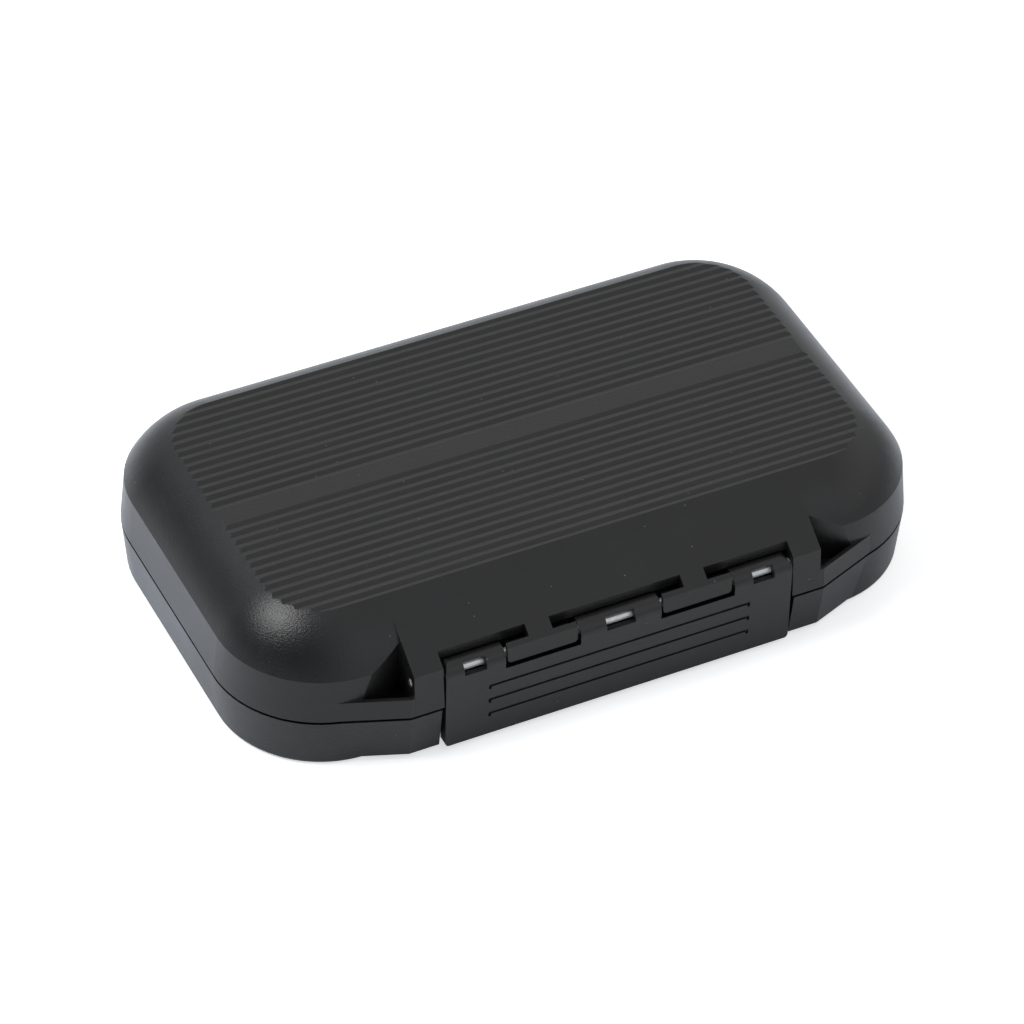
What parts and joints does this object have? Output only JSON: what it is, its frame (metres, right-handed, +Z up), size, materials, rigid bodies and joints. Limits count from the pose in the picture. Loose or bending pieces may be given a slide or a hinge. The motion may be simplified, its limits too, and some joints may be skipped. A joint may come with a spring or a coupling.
{
  "type": "fly box",
  "caption": "Waterproof fly box with a ribbed domed lid on a shallow base, two pinned hinges at the back, one wide snap latch in front, a rim seal and slotted foam rows.",
  "frame": {"origin": "middle of the footprint at the height of the surface the closed box stands on", "axes": "+X along the box and its hinge line, +Y towards the hinges at the back, +Z up through the lid"},
  "size_m": [0.158, 0.1016, 0.0333],
  "materials": {
    "shell_plastic": "satin black moulded plastic with a fine spark texture",
    "latch_plastic": "satin black moulded plastic, slightly smoother than the shells",
    "pin_steel": "bright drawn stainless wire",
    "seal_rubber": "dull dark silicone cord",
    "foam": "off-white closed-cell foam with a fine open skin"
  },
  "bodies": {
    "base": {"base_shell": "shell_plastic", "gasket": "seal_rubber", "hinge_pin_left": "pin_steel", "hinge_pin_right": "pin_steel", "base_foam_sheet": "foam", "base_foam_row_1": "foam", "base_foam_row_2": "foam", "base_foam_row_3": "foam", "base_foam_row_4": "foam", "base_foam_row_5": "foam", "base_foam_row_6": "foam", "base_foam_row_7": "foam"},
    "lid": {"lid_shell": "shell_plastic", "latch_pin": "pin_steel", "lid_foam_sheet": "foam", "lid_foam_row_1": "foam", "lid_foam_row_2": "foam", "lid_foam_row_3": "foam", "lid_foam_row_4": "foam", "lid_foam_row_5": "foam", "lid_foam_row_6": "foam"},
    "latch": {"latch": "latch_plastic"}
  },
  "joints": [
    {"name": "lid_hinge", "type": "hinge", "parent": "base", "child": "lid", "pos_m": [0, 0.04875, 0.0126], "axis": [-1, 0, 0], "range_deg": [0, 180]},
    {"name": "latch_hinge", "type": "hinge", "parent": "lid", "child": "latch", "pos_m": [0, -0.04795, 0.02015], "axis": [-1, 0, 0], "range_deg": [0, 60]}
  ]
}
